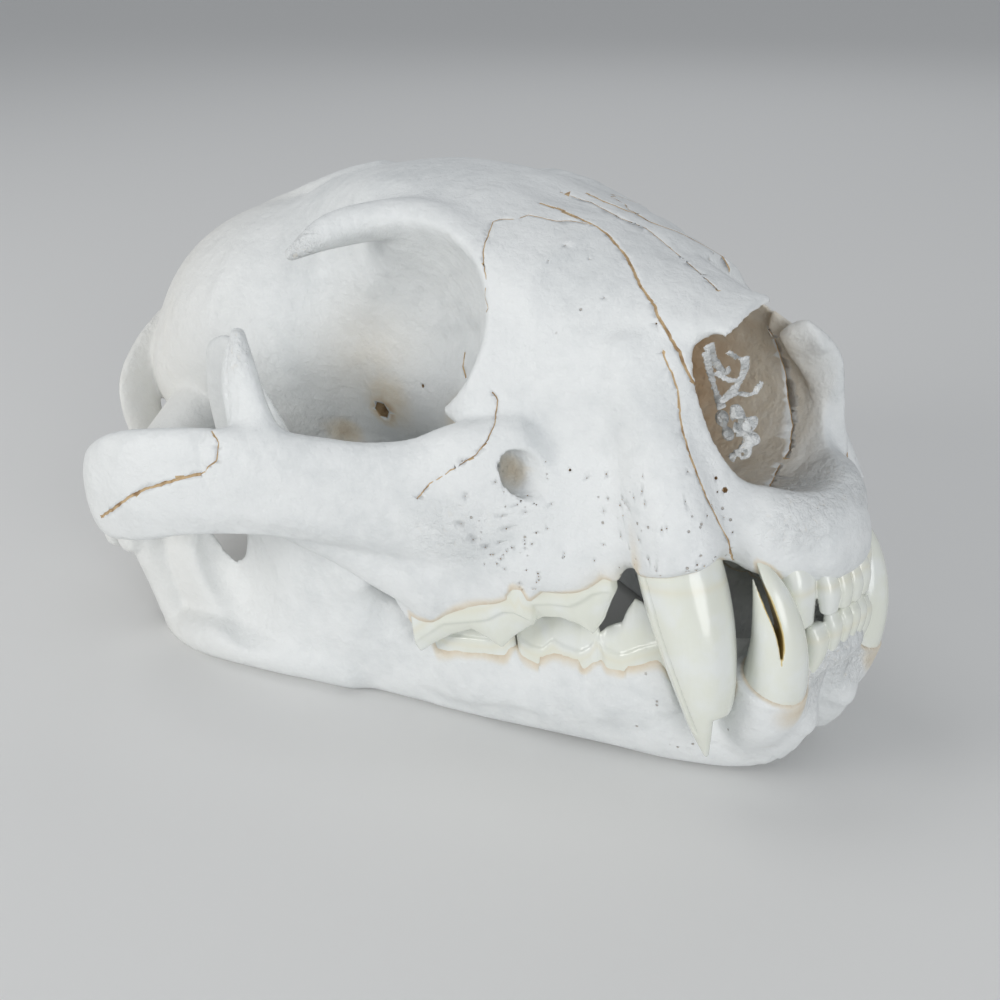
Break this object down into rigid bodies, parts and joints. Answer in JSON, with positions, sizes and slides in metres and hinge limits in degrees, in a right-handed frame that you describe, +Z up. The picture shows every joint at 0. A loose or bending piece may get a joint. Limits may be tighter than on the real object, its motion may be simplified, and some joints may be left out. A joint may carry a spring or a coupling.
{
  "type": "cougar skull",
  "caption": "Life-size skull of an adult cougar with its lower jaw closed and all its canines in place, lying on the edge of the jaw as a display model.",
  "frame": {"origin": "middle of the bounding box at its base, which is the surface that the lower jaw rests on", "axes": "+X towards the nose and incisors, +Y towards the skull's left, +Z up"},
  "size_m": [0.1994, 0.1509, 0.1054],
  "materials": {
    "bone": "cleaned dry bone, cool white, matte",
    "jaw_bone": "cleaned dry bone of the lower jaw, matte",
    "enamel": "glossy greenish ivory tooth"
  },
  "bodies": {
    "root": {"cranium": "bone", "mandible_left": "jaw_bone", "mandible_right": "jaw_bone", "upper_canine_left": "enamel", "upper_canine_right": "enamel", "lower_canine_left": "enamel", "lower_canine_right": "enamel"}
  },
  "joints": []
}
